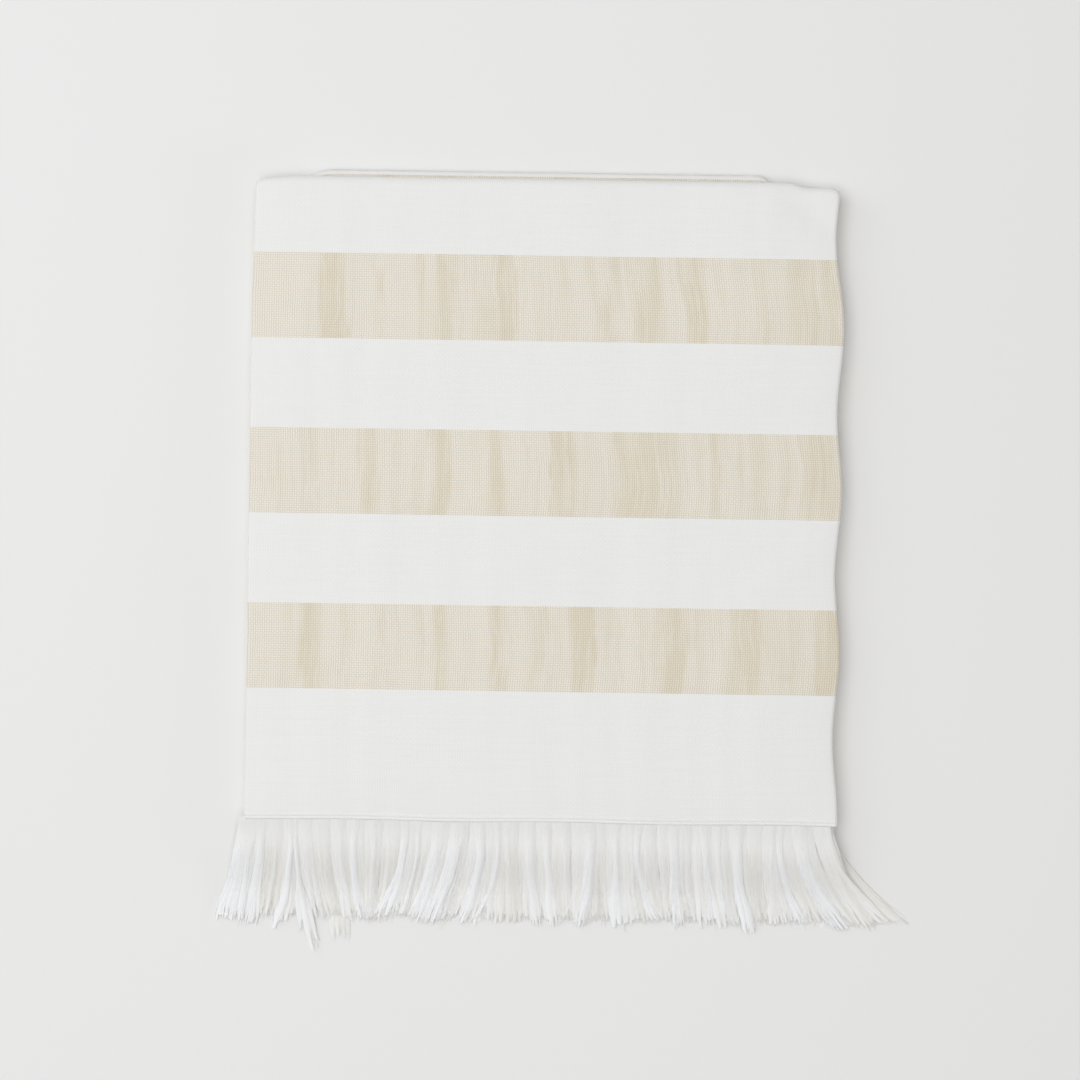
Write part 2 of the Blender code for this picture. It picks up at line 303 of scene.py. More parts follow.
def unevenLift(x, y):
    flat = np.empty(x.size)
    wide, long, size = relief["streakWidth"], relief["streakLength"], relief["rippleSize"]
    for index, (px, py) in enumerate(zip(x.ravel(), y.ravel())):
        streak = noise.noise(Vector((px / wide, py / long, relief["streakSeed"])))
        ripple = noise.noise(Vector((px / size, py / size, relief["rippleSeed"])))
        flat[index] = relief["unevenness"] * streak + relief["ripple"] * ripple
    return flat.reshape(y.shape)


def crownLift(x, y):
    toSide = rounded((cloth["foldedWidth"] / 2 - np.abs(x)) / cloth["crownReach"])
    toHem = rounded((y - cloth["frontHemY"]) / cloth["crownReach"])
    toFold = rounded((crossFolds[0].apexY - y) / cloth["crownReach"])
    wave = np.sin(2 * math.pi * x / cloth["crownWaveX"]) * np.cos(2 * math.pi * y / cloth["crownWaveY"])
    return cloth["crown"] * toSide * toHem * toFold * (1.0 + cloth["crownWave"] * wave)


def hemLift(fromHem):
    ridge = hem["ridgeHeight"] * bell(fromHem - hem["ridgeAt"], hem["ridgeReach"])
    return ridge + hem["edgeHeight"] * bell(fromHem - hem["edgeAt"], hem["edgeReach"])


def sideShift(section, y):
    upper, lower = sections[math.floor(section)], sections[math.ceil(section)]
    share = section - math.floor(section)
    right = [row.rightShift + row.wave * np.sin(2 * math.pi * y / cloth["sideWaveLength"] + row.wavePhase)
             for row in (upper, lower)]
    return mixed(upper.leftShift, lower.leftShift, share), mixed(*right, share)


def cornerPull(corner, fromSide):  # how far a fold is drawn back near one side
    drawn = corner.pull * (1.0 - smooth((fromSide / corner.reach - corner.level) / (1.0 - corner.level)))
    radius = cloth["cornerRadius"]
    turned = clamped(1.0 - fromSide / radius)
    return drawn + radius * (1.0 - np.sqrt(1.0 - turned ** 2)) * cloth["cornerDraw"]


def foldedRow(row, x, height):  # where one row of the letter fold lies in the folded towel
    y = row.y + row.yPerHeight * height
    z = row.z + row.zPerHeight * height
    fromLeft = x + cloth["foldedWidth"] / 2
    fromRight = cloth["foldedWidth"] / 2 - x
    leftShift, rightShift = sideShift(row.section, y)
    shiftY = np.zeros_like(x)
    for fold, distance in zip(crossFolds, row.distances):
        if distance < farAway:
            narrowing = bell(distance, cloth["insetFade"])
            leftShift = leftShift + fold.left.inset * narrowing
            rightShift = rightShift - fold.right.inset * narrowing
            corners = cornerPull(fold.left, fromLeft) + cornerPull(fold.right, fromRight)
            shiftY = shiftY - fold.facing * corners * bell(distance, cloth["pullFade"])
    shiftX = mixed(leftShift, rightShift, fromLeft / cloth["foldedWidth"])
    return x + shiftX, y + shiftY, z


def foldedCloth():  # every corner of the sheet: rows down, columns across
    x, height, u = letterPath()
    rows, v = lengthRows()
    points = np.array([np.stack(foldedRow(row, x, height), axis=-1) for row in rows])
    x2, y2, z2 = points[..., 0], points[..., 1], points[..., 2]
    floorZ = cloth["thickness"] / 2
    lifted = floorZ + (z2 - floorZ) * (1.0 + crownLift(x2, y2))
    share = (z2 / topZ) ** 2
    lifted = lifted + share * (creaseLift(x2, y2) + unevenLift(x2, y2))
    fromHem = np.minimum(v, v[-1] - v)[:, None]
    points[..., 2] = lifted + hemLift(fromHem)
    hemWave = hem["wave"] * np.sin(2 * math.pi * x2 / hem["waveLength"] + hem["wavePhase"])
    points[..., 1] += hemWave * bell(fromHem, hem["waveFade"])
    return points, u, v


# Cloth: puckered bands in the beige stripes

bandKind = namedtuple("bandKind", "x width left right depth")  # in millimetres; left, right: soft ends
puckers = [[bandKind(*row) for row in stripe] for stripe in (  # by stripe, in turn from the fringe on
    (
        (-129, 20, 5, 8, 0.80), (-90, 6, 3, 2, 0.35), (-59, 13, 7, 4, 1.00),
        (-25, 13, 7, 4, 1.00), (1, 12, 6, 4, 0.55), (21, 18, 6, 2, 1.00),
        (74, 16, 7, 3, 1.05), (112, 22, 9, 2, 0.60), (160, 24, 18, 1, 1.00),
    ),
    (
        (-136, 17, 11, 1, 0.60), (-100, 16, 9, 2, 0.75), (-60, 15, 7, 3, 1.05),
        (-30, 14, 7, 3, 0.85), (11, 17, 1, 9, 1.00), (57, 46, 8, 16, 0.70),
        (95, 10, 6, 1, 0.70), (150, 32, 20, 2, 0.55),
    ),
    (
        (-122, 20, 5, 3, 0.95), (-97, 9, 5, 3, 0.75), (-72, 5, 3, 2, 0.50),
        (-58, 13, 8, 1, 1.00), (-24, 16, 9, 2, 0.90), (37, 13, 5, 4, 0.95),
        (57, 16, 4, 4, 0.55), (85, 15, 6, 5, 0.90), (150, 40, 20, 2, 0.60),
    ),
)]
narrowBand = 14  # bands under this many millimetres have a single crest
mostStops = 32  # as many as a colour ramp takes


def puckerStops(bands):  # place and depth; the places run from 0 at the left fold to 1 at the right
    stops = []
    for band in bands:
        start, end = band.x - band.width / 2, band.x + band.width / 2
        stops += [(start, 0.0), (start + band.left, band.depth), (end, 0.0)]
        if band.width >= narrowBand:
            stops.insert(-1, (end - band.right, band.depth))
    width = rightX - leftX
    return [(min(max((x * mm - leftX) / width, 0.0), 1.0), depth) for x, depth in stops][:mostStops]


# Cloth: the sheet

def layCloth():
    points, u, v = foldedCloth()
    rowCount, columnCount = points.shape[:2]
    bpy.ops.object.select_all(action="DESELECT")
    bpy.ops.mesh.primitive_grid_add(x_subdivisions=columnCount - 1, y_subdivisions=rowCount - 1, size=1.0)
    sheet = bpy.context.active_object
    sheet.name = "towelSheet"
    mesh = sheet.data
    mesh.vertices.foreach_set("co", points.ravel())  # the grid's corners run across first
    loops = fetched(mesh.loops, "vertex_index", kind=int)
    uv = np.stack([u[loops % columnCount], v[loops // columnCount]], axis=1)
    mesh.uv_layers[0].name = "weaveMap"
    mesh.uv_layers[0].data.foreach_set("uv", uv.ravel())
    mesh.update()
    only(sheet)
    solidify = sheet.modifiers.new("thickness", "SOLIDIFY")
    solidify.thickness = cloth["thickness"]
    solidify.offset = 0.0
    solidify.use_even_offset = True
    bpy.ops.object.modifier_apply(modifier=solidify.name)
    bpy.ops.object.shade_smooth()
    print("cloth:", columnCount, "columns,", rowCount, "rows,", 2 * len(sheet.data.polygons), "triangles")
    print("cloth: flat size", round(u[-1], 4), "by", round(v[-1], 4))
    return sheet, (float(u[-1]), float(v[-1]))


def outerPanelMap():  # where the outer panel lies on the map: its right fold's side first
    x, height, u = letterPath()
    outer = np.flatnonzero(height >= panelHeight["outer"] - 1e-9)
    return float(u[outer[0]]), float(u[outer[-1]])


# Fringe: locks of loose yarn, each a few closed wisps under fine threads

finenessKind = namedtuple("finenessKind", "threads segments wisp")
fringe = {
    "fineness": {
        "outer": finenessKind(1450, 18, 1.3 * mm),
        "inner": finenessKind(1300, 13, 3.0 * mm),
        "back": finenessKind(1200, 12, 3.0 * mm),
        "far": finenessKind(620, 12, 3.0 * mm),  # each panel at the back hem
    },
    "seed": 11,
    "threadPitch": 0.21 * mm,  # across a raised lock
    "fewestThreads": 7,
    "rootJitter": (0.1, 0.9),
    "acrossJitter": 0.05,
    "radius": (0.30 * mm, 0.14 * mm),  # at the root and the tip
    "radiusSpread": (0.8, 1.15),
    "flatness": 0.4,  # height of a thread as a share of its width
    "floorGap": 0.05 * mm,
    "softLimit": 0.1,
    "lockRounding": 0.28,
    "threadRelief": 0.34,
    "tuck": 0.8 * mm,  # how far the threads start inside the hem
    "rootStraight": 7 * mm,  # how far they run level and side by side
    "overlap": 1.08,  # of neighbouring locks at their tips
    "baseWaist": 1.06,
    "lockWaist": 0.85,
    "waistEnd": 0.45,  # share of the length from which a gathered lock opens again
    "drop": (9 * mm, 37 * mm),  # start and reach of the fall to the floor; the swell's and the dome's follow
    "swelling": (4 * mm, 16 * mm),
    "doming": (6 * mm, 20 * mm),
    "leanPower": 1.6,
    "splayReach": 42 * mm,
    "bundleTip": 0.25 * mm,
    "bodySegments": 14,
    "bodySink": 0.05 * mm,  # how far a wisp lies under the middle of its threads
    "wispOverlap": 1.9,
    "wispOverhang": 0.25,
    "wispRounding": 0.25,
    "wispTaper": 0.80,  # share of its length from which a wisp narrows
    "wispPoint": 0.7,
    "wispThinning": 0.1,
    "wispDrift": 0.4 * mm,
    "wispSection": (  # round a wisp: place across it and depth, as shares
        (-1.0, 0.22), (-0.45, 0.0), (0.45, 0.0), (1.0, 0.22), (0.0, 0.7),
    ),
    "raisedOrder": 2.1,  # the raised locks lie just above the outer panel's
    "liftShare": 0.7,
    "swellTip": 0.3,
    "dome": 0.5 * mm,  # how much higher a lock's middle is than its sides
    "domeTip": 0.4,
    "looseness": 0.10 * mm,
    "looseStart": 0.15,
    "growth": (0.6, 1.6),  # of sway and wobble, from root to tip
    "wobble": 0.13 * mm,
    "wobbleLength": 15 * mm,
    "wobblePace": (0.7, 1.4),
    "fineWobble": (0.5, 2.3),  # its size and pace as shares of the wobble's
    "heightWobble": (0.3, 1.3),
    "sway": 0.25 * mm,
    "phaseStep": 2.4,  # radians, from one lock's sway to the next one's
    "unevenTips": 1.7 * mm,
    "stray": 0.04,
    "strayReach": 4 * mm,
    "strand": 1.1 * mm,
    "strandTones": (0.3, 0.8, 0.5, 0.1, 0.9, 0.4, 0.7, 0.2, 0.6, 1.0, 0.0),
    "strandShare": 0.4,
    "paintedLiftLight": 0.42,  # painted light: paler by this for each millimetre of lift, darker and warmer where sunk
    "toneSpread": 0.13,
}

lockKind = namedtuple(
    "lockKind", "x width lean tipWidth lift length bow leftLift rightLift", defaults=(0.0, 0.0))
frontLocks = [lockKind(*row) for row in (  # the raised locks, in millimetres
    (-163, 13, -12, 18, 1.6, 58, -2), (-157, 6, -7, 7, 1.2, 60, 0), (-141, 3, -7, 6, 1.5, 60, 2),
    (-138, 2, 4, 5, 1.2, 64, 0), (-137, 2, 11, 5, 0.8, 73, -2), (-113, 4, 5, 6, 0.7, 57, -1),
    (-103, 4, 4, 6, 1.6, 58, -3), (-94, 4, -3, 5, 0.6, 56, 1), (-76, 5, -12, 11, 1.6, 54, 2),
    (-68, 3, -9, 5, 0.7, 55, 1), (-56, 8, -13, 9, 1.6, 57, 0), (-45, 10, -16, 11, 2.2, 58, 0),
    (-34, 6, -9, 7, 2.2, 58, 3), (-25, 3, -9, 4, 1.3, 56, 4), (-18, 3, 2, 4, 0.5, 54, 0),
    (-5, 6, 4, 6, 0.9, 59, -1), (4, 5, 4, 6, 1.4, 58, 0), (14, 4, 4, 5, 0.5, 52, 0),
    (28, 7, -4, 7, 1.9, 60, 2), (43, 4, 3, 11, 1.5, 59, 0), (52, 3, 3, 5, 0.5, 55, 0),
    (57, 4, 11, 6, 1.2, 56, -4), (76, 6, 3, 5, 1.8, 58, 0), (93, 4, 8, 10, 1.3, 58, 0),
    (101, 4, 8, 7, 1.0, 58, -1), (113, 6, 7, 8, 2.2, 61, -2), (131, 3, 4, 6, 0.6, 56, 0),
    (137, 4, 14, 5, 1.3, 56, -3), (148, 9, 25, 9, 2.2, 60, -3), (163, 3, 34, 9, 0.4, 56, -2),
)]

sunkKind = namedtuple("sunkKind", "x reach depth")
sunkPlaces = [sunkKind(*row) for row in (  # where the outer threads lie lower, in millimetres
    (-150, 8, 1.2), (-122, 11, 1.4), (-88, 9, 1.5), (-64, 6, 1.2), (-14, 9, 1.2), (8, 9, 1.0), (35, 6, 1.0),
    (66, 8, 0.8), (85, 6, 1.4), (107, 4, 1.2), (123, 8, 1.4), (142, 6, 1.2), (160, 6, 0.8),
)]

panelFringe = namedtuple("panelFringe", "panel length leftSplay rightSplay wave wavePhase locks longLock")
frontPanels = [  # lowest first, in millimetres
    panelFringe("back", 50, 16, 26, 2.4, 5.1, 27, None),
    panelFringe("inner", 51, 18, 20, 2.6, 1.1, 29, None),
    panelFringe("outer", 56, 0, 0, 0, 0, 34, None),
]
backPanels = [
    panelFringe("outer", 56, 10, 14, 2.2, 0.4, 26, None),
    panelFringe("inner", 57, 14, 22, 2.6, 2.0, 28, 4),
    panelFringe("back", 58, 12, 44, 2.4, 3.9, 25, None),
]

looseness = {  # of a panel's own locks, in millimetres but for the first two
    "pitchShare": 0.25,
    "tipShare": 1.15,
    "lean": 2.5,
    "length": 2.0,
    "longer": 15,
    "lift": 0.5,
    "bow": 2,
}

following = {  # how the outer panel's locks follow the raised ones; millimetres but for the shares
    "leanShare": 0.9,
    "lean": 0.8,
    "lift": 0.1,
    "sunkShare": 0.55,
}


def looseLocks(panel, random):  # locks side by side, spread evenly and leaning as they like
    def about(key):
        return random.uniform(-looseness[key], looseness[key])

    start, end = sorted(panelEnds[panel.panel])
    pitch = (end - start) / panel.locks
    half = cloth["foldedWidth"] / 2
    locks = []
    for index in range(panel.locks):
        x = start + (index + 0.5 + about("pitchShare")) * pitch
        left = panel.leftSplay * bell(x + half, fringe["splayReach"])
        right = panel.rightSplay * bell(half - x, fringe["splayReach"])
        wave = panel.wave * math.sin(2 * math.pi * x / cloth["sideWaveLength"] + panel.wavePhase)
        lean = right - left + wave + random.normal(0.0, looseness["lean"])
        length = panel.length + about("length")
        if index == panel.longLock:
            length += looseness["longer"]
        tip = looseness["tipShare"] * pitch / mm
        locks.append(lockKind(x / mm, 0, lean, tip, about("lift"), length, about("bow")))
    return locks


def underRaised(locks, random):  # what lies under the raised locks leans with them
    places = [lock.x for lock in frontLocks]
    leans = [lock.lean for lock in frontLocks]
    leaning = []
    for lock in locks:
        sunk = sum(place.depth * bell(lock.x - place.x, place.reach) for place in sunkPlaces)
        followed = following["leanShare"] * float(np.interp(lock.x, places, leans))
        lean = followed + random.normal(0.0, following["lean"])
        leaning.append(lock._replace(lean=lean, lift=following["lift"] - following["sunkShare"] * sunk))
    return leaning


def between(values, first, last):  # the means of neighbours, with the two ends
    return np.concatenate([[first], (values[1:] + values[:-1]) / 2, [last]])


def lockBorders(locks, panel):  # where neighbouring locks meet at the hem
    start, end = sorted(panelEnds[panel])
    return between(np.array([lock.x for lock in locks]) * mm, start, end)


def joined(locks, panel):  # neighbouring locks share the side between them
    leans = np.array([lock.lean for lock in locks])
    lifts = np.array([lock.lift for lock in locks])
    borders = lockBorders(locks, panel) / mm
    tips = borders + between(leans, leans[0], leans[-1])
    borderLifts = between(lifts, lifts[0], lifts[-1])
    return [lock._replace(lean=(tips[index] + tips[index + 1] - borders[index] - borders[index + 1]) / 2,
                          tipWidth=fringe["overlap"] * (tips[index + 1] - tips[index]),
                          leftLift=borderLifts[index], rightLift=borderLifts[index + 1])
            for index, lock in enumerate(locks)]


threadTable = namedtuple(
    "threadTable", "middle half across waist lean tipHalf lift sideLift length bow tone phase")


def tableOf(locks, owner, middle, half, across, waist, random):
    column = {name: np.array([getattr(lock, name) for lock in locks])[owner] * mm
              for name in ("lean", "tipWidth", "lift", "length", "bow", "leftLift", "rightLift")}
    sideLift = np.where(across < 0.0, column["leftLift"], column["rightLift"])
    strand = np.floor((middle + across * half) / fringe["strand"]).astype(int) % len(fringe["strandTones"])
    strandTone = fringe["strandShare"] * (np.array(fringe["strandTones"])[strand] - 0.5)
    # random tone by strand and by thread, plus painted light: raised locks paler, sunk ones darker and warmer
    tone = 0.5 - fringe["paintedLiftLight"] * column["lift"] / mm + strandTone
    tone = tone + random.normal(0.0, fringe["toneSpread"], len(owner))
    return threadTable(middle, half, across, waist, column["lean"], column["tipWidth"] / 2, column["lift"],
                       sideLift, column["length"], column["bow"], clamped(tone), fringe["phaseStep"] * owner)


def sharedThreads(locks, borders, middle, half, count, random):  # each goes to its nearest lock
    shares = (np.arange(count) + random.uniform(*fringe["rootJitter"], count)) / count
    roots = borders[0] + shares * (borders[-1] - borders[0])
    owner = np.clip(np.searchsorted(borders, roots) - 1, 0, len(locks) - 1)
    middle, half = middle[owner], half[owner]
    return tableOf(locks, owner, middle, half, (roots - middle) / half, fringe["baseWaist"], random)


def raisedThreads(locks, middle, half, random):
    counts = [max(fringe["fewestThreads"], round(lock.width * mm / fringe["threadPitch"])) for lock in locks]
    owner = np.repeat(np.arange(len(locks)), counts)
    across = np.concatenate([np.linspace(-1.0, 1.0, count) for count in counts])
    across = np.clip(across + random.normal(0.0, fringe["acrossJitter"], len(across)), -1.0, 1.0)
    return tableOf(locks, owner, middle[owner], half[owner], across, fringe["lockWaist"], random)


def lockBundle(along):
    return mixed(cloth["thickness"], fringe["bundleTip"], smooth(along))


def pileHeight(along):  # how high the fringe of the three panels at one end piles up
    return len(panelHeight) * (lockBundle(along) + cloth["layerGap"] * (1.0 - along))


def onFloor(along):
    return 0.0 * along


placeKind = namedtuple("placeKind", "order hemY rootZ restZ")  # where the fringe of one panel hangs and lies


def lockSurface(table, along, length, place):  # the locks' tops, without what each thread does alone
    reach = length[:, None] * along
    waistEnd = fringe["waistEnd"]
    gather = mixed(1.0, table.waist, smooth(along / waistEnd))
    late = eased(along, waistEnd, 1.0 - waistEnd)
    opening = along ** fringe["leanPower"] if table.waist > 1.0 else late
    halfWidth = mixed(table.half[:, None] * gather, table.tipHalf[:, None], opening)
    lean = table.lean[:, None] * along ** fringe["leanPower"]
    bow = table.bow[:, None] * np.sin(math.pi * along)
    growth = smooth(reach / fringe["rootStraight"]) * mixed(*fringe["growth"], along)
    sway = fringe["sway"] * growth * np.sin(math.pi * reach / fringe["wobbleLength"] + table.phase[:, None])
    x = table.middle[:, None] + table.across[:, None] * halfWidth + lean + bow + sway
    y = place.hemY + fringe["tuck"] - reach
    bundle = lockBundle(along)
    low = mixed(place.rootZ, place.restZ(along), eased(reach, *fringe["drop"]))
    low = low + place.order * (bundle + cloth["layerGap"] * (1.0 - along))
    roundLock = np.sqrt(clamped(1.0 - table.across[:, None] ** 2))
    rise = mixed(table.lift[:, None], table.sideLift[:, None], table.across[:, None] ** 2)
    swelling = eased(reach, *fringe["swelling"]) * mixed(1.0, fringe["swellTip"], along ** 2)
    doming = eased(reach, *fringe["doming"]) * mixed(1.0, fringe["domeTip"], along)
    z = low + 0.5 * bundle + fringe["liftShare"] * rise * swelling + fringe["dome"] * roundLock * doming
    return np.stack([x, y, z], axis=-1), growth


def threadPaths(table, segmentCount, place, random):
    count = len(table.middle)
    along = np.linspace(0.0, 1.0, segmentCount + 1)[None, :]
    length = table.length + random.normal(0.0, fringe["unevenTips"], count)
    paths, growth = lockSurface(table, along, length, place)
    stray = random.uniform(0, 1, count) < fringe["stray"]
    strayLean = np.where(stray, random.normal(0.0, fringe["strayReach"], count), 0.0)[:, None] * along ** 2
    phase = random.uniform(0.0, 2 * math.pi, (3, count, 1))
    pace = random.uniform(*fringe["wobblePace"], (count, 1))
    turn = 2 * math.pi * length[:, None] * along / fringe["wobbleLength"] * pace
    fineSize, finePace = fringe["fineWobble"]
    heightSize, heightPace = fringe["heightWobble"]
    wobbleX = np.sin(turn + phase[0]) + fineSize * np.sin(finePace * turn + phase[1])
    wobbleZ = heightSize * np.sin(heightPace * turn + phase[2])
    loose = random.uniform(-1.0, 1.0, (count, 1)) * smooth(along / fringe["looseStart"])
    uneven = random.uniform(*fringe["radiusSpread"], (count, 1))
    radius = mixed(*fringe["radius"], along ** 2) * uneven
    height = paths[..., 2] + fringe["looseness"] * loose + fringe["wobble"] * growth * wobbleZ
    paths[..., 0] += strayLean + fringe["wobble"] * growth * wobbleX
    paths[..., 2] = np.maximum(height, radius * fringe["flatness"] + fringe["floorGap"])
    return paths, radius, table.tone, table.across


def sideAndUp(paths):  # two directions square to each path
    tangent = np.gradient(paths, axis=1)
    tangent /= np.linalg.norm(tangent, axis=2, keepdims=True)
    side = np.cross(tangent, np.array([0.0, 0.0, 1.0]))
    side /= np.linalg.norm(side, axis=2, keepdims=True)
    return side, np.cross(side, tangent)


def unitNormals(normals):  # of the sides of the tubes, joined and made one long
    normals = np.stack(normals, axis=2)
    return normals / np.linalg.norm(normals, axis=3, keepdims=True)


def lockWisps(locks, middle, half, waist, wisp, place, random):  # closed wisps under the threads
    counts = np.maximum(1, np.rint(2 * half / wisp).astype(int))
    owner = np.repeat(np.arange(len(locks)), counts)
    centre = np.concatenate([(2 * np.arange(count) + 1) / count - 1.0 for count in counts])
    share = fringe["wispOverlap"] / counts[owner]
    widest = 1.0 + fringe["wispOverhang"] * share
    along = np.linspace(0.0, 1.0, fringe["bodySegments"] + 1)[None, :]
    thinning = eased(along, fringe["wispTaper"], 1.0 - fringe["wispTaper"])
    bundle = lockBundle(along)
    uneven = random.normal(0.0, fringe["unevenTips"], len(owner))
    drift = random.normal(0.0, fringe["wispDrift"], len(owner))[:, None] * along ** 3
    table = tableOf(locks, owner, middle[owner], half[owner], centre, waist, random)
    length = table.length + uneven
    middlePoints = lockSurface(table, along, length, place)[0]
    side, up = sideAndUp(middlePoints)
    corners, normals = [], []
    for across, depth in fringe["wispSection"]:
        sides = np.clip(centre + across * share, -widest, widest)
        points = lockSurface(table._replace(across=sides), along, length, place)[0]
        points = mixed(points, middlePoints, fringe["wispPoint"] * thinning[..., None])
        points[..., 0] += drift
        points[..., 2] -= fringe["bodySink"] + depth * bundle + fringe["wispThinning"] * bundle * thinning
        points[..., 2] = np.maximum(points[..., 2], fringe["floorGap"] * (3.0 - 2.0 * depth))
        corners.append(points)
        tilt = fringe["lockRounding"] * sides[:, None, None] + fringe["wispRounding"] * across
        normals.append(up - tilt * side)
    return np.stack(corners, axis=2), table.tone, unitNormals(normals)


def threadTubes(paths, radii, tonesAndLiftLight, across):  # thin three-sided tubes, shaded like fuzzy cotton
    side, up = sideAndUp(paths)
    lockNormal = up - fringe["lockRounding"] * across[:, None, None] * side
    corners, normals = [], []
    for angle in 2 * math.pi * (np.arange(3) / 3) + math.pi / 2:
        sideways, upwards = math.cos(angle) * side, math.sin(angle) * up
        corners.append(paths + radii[..., None] * (sideways + fringe["flatness"] * upwards))
        normals.append(mixed(lockNormal, sideways + upwards, fringe["threadRelief"]))
    return np.stack(corners, axis=2), tonesAndLiftLight, unitNormals(normals)


def softenNormals(mesh, soft):  # the given normals, except on faces that turn away from them
    sizes = fetched(mesh.polygons, "loop_total", kind=int)
    plain = np.repeat(fetched(mesh.polygons, "normal", 3), sizes, axis=0)
    turned = (soft * plain).sum(axis=1) < fringe["softLimit"]
    mesh.normals_split_custom_set(np.where(turned[:, None], plain, soft).tolist())


def yarnPiece(name, corners, tonesAndLiftLight, normals):  # closed tubes in one mesh; corners by tube, ring and side
    count, rings, sides = corners.shape[:3]
    index = np.arange(count * rings * sides).reshape(count, rings, sides)
    beside = np.roll(index, -1, axis=2)
    quads = np.stack([index[:, :-1], index[:, 1:], beside[:, 1:], beside[:, :-1]], axis=-1)
    faces = np.moveaxis(quads, 2, 0).reshape(-1, 4).tolist()
    faces += index[:, 0].tolist() + index[:, -1, ::-1].tolist()
    mesh = bpy.data.meshes.new(name)
    mesh.from_pydata(corners.reshape(-1, 3).tolist(), [], faces)
    along = np.broadcast_to(np.linspace(0.0, 1.0, rings)[None, :, None], index.shape).ravel()
    tone = np.broadcast_to(tonesAndLiftLight[:, None, None], index.shape).ravel()
    loops = fetched(mesh.loops, "vertex_index", kind=int)
    uv = mesh.uv_layers.new(name="yarnMap")
    uv.data.foreach_set("uv", np.stack([tone[loops], along[loops]], axis=1).ravel())
    piece = bpy.data.objects.new(name, mesh)
    bpy.context.collection.objects.link(piece)
    only(piece)
    bpy.ops.object.shade_smooth()
    softenNormals(mesh, normals.reshape(-1, 3)[loops])
    print("fringe:", name, count, "tubes")
    return piece


def hangLocks(name, locks, middle, half, table, fineness, place, random):  # the wisps and their threads
    wisps = lockWisps(locks, middle, half, table.waist, fineness.wisp, place, random)
    mass = yarnPiece(name + "Mass", *wisps)
    return [mass, yarnPiece(name, *threadTubes(*threadPaths(table, fineness.segments, place, random)))]


def hangPanel(end, panel, locks, fineness, place, random):  # a panel's whole width of locks
    locks = joined(locks, panel)
    borders = lockBorders(locks, panel)
    middle, half = (borders[1:] + borders[:-1]) / 2, (borders[1:] - borders[:-1]) / 2
    table = sharedThreads(locks, borders, middle, half, fineness.threads, random)
    return hangLocks(end + panel.title(), locks, middle, half, table, fineness, place, random)


def hangFringe():  # pairs of the node that a piece replaces and the piece
    random = np.random.default_rng(fringe["seed"])
    fineness = fringe["fineness"]
    front, back = [], []
    place = placeKind(0, cloth["frontHemY"], sectionLowZ(0), pileHeight)
    for order, row in enumerate(frontPanels):
        locks = looseLocks(row, random)
        if row.panel == "outer":
            locks = underRaised(locks, random)
        here = place._replace(order=order)
        front += hangPanel("fringeFront", row.panel, locks, fineness[row.panel], here, random)
    middle = np.array([lock.x for lock in frontLocks]) * mm
    half = np.array([lock.width for lock in frontLocks]) * mm / 2
    raised = raisedThreads(frontLocks, middle, half, random)
    front += hangLocks("fringeFrontRaised", frontLocks, middle, half, raised, fineness["outer"],
                       place._replace(order=fringe["raisedOrder"]), random)
    for order, row in enumerate(backPanels):
        place = placeKind(order, cloth["backHemY"], 0.0, onFloor)
        back += hangPanel("fringeBack", row.panel, looseLocks(row, random), fineness["far"], place, random)
    return [("fringe_front", piece) for piece in front] + [("fringe_back", piece) for piece in back]


# Materials

def feed(socket, value):  # a link from another node, or a plain number or colour
    if isinstance(value, bpy.types.NodeSocket):
        socket.id_data.links.new(value, socket)
    else:
        socket.default_value = value


def addNode(kind, inputs=(), tree=None, **settings):  # into the tree of its inputs, if no other is named
    inputs = dict(inputs)
    sources = [value for value in inputs.values() if isinstance(value, bpy.types.NodeSocket)]
    node = (tree or sources[0].id_data).nodes.new(kind)
    for key, value in settings.items():
        setattr(node, key, value)
    for key, value in inputs.items():
        feed(node.inputs[key], value)
    return node


def arrange(tree):  # in columns, by how far the nodes are from the last one
    column = {node.name: 0 for node in tree.nodes}
    for _ in tree.nodes:
        for link in tree.links:
            column[link.from_node.name] = max(column[link.from_node.name], column[link.to_node.name] + 1)
    columnWidth, nodeHeight = 220, 260
    filled = {}
    for node in tree.nodes:
        place = column[node.name]
        filled[place] = filled.get(place, 0) + 1
        node.location = (-columnWidth * place, -nodeHeight * filled[place])


def newMaterial(name):
    material = bpy.data.materials.new(name)
    material.use_nodes = True
    return material, material.node_tree


def finish(tree, look, inputs):  # what the shader gets
    for key, value in {**look["shader"], **inputs}.items():
        feed(tree.nodes["Principled BSDF"].inputs[key], value)
    arrange(tree)


def mathNode(operation, *values, clamp=False):
    node = addNode("ShaderNodeMath", enumerate(values), operation=operation, use_clamp=clamp)
    return node.outputs[0]


def times(first, second, plus=0.0, clamp=False):  # the first times the second, plus a third
    return mathNode("MULTIPLY_ADD", first, second, plus, clamp=clamp)


def vectorNode(operation, inputs):
    return addNode("ShaderNodeVectorMath", inputs, operation=operation).outputs[0]


def mixColour(factor, first, second, blend="MIX"):
    inputs = {0: factor, 6: first, 7: second}
    return addNode("ShaderNodeMix", inputs, data_type="RGBA", blend_type=blend).outputs[2]


def remap(value, span, kind="SMOOTHSTEP"):  # span: the lowest and highest value, and what they become
    return addNode("ShaderNodeMapRange", enumerate((value, *span)), interpolation_type=kind).outputs[0]


def noiseNode(vector, scale, detail):
    return addNode("ShaderNodeTexNoise", {"Vector": vector, "Scale": scale, "Detail": detail}).outputs


def patternNoise(vector, scale, detail):
    stretched = addNode("ShaderNodeMapping", {"Vector": vector, "Scale": scale}).outputs[0]
    return noiseNode(stretched, 1.0, detail)[0]


def swung(pattern, size, middle):  # the middle, plus a noise's swing round a half times the size
    return times(mathNode("SUBTRACT", pattern, 0.5), size, middle)


def coordinates(vector):
    return addNode("ShaderNodeSeparateXYZ", {0: vector}).outputs


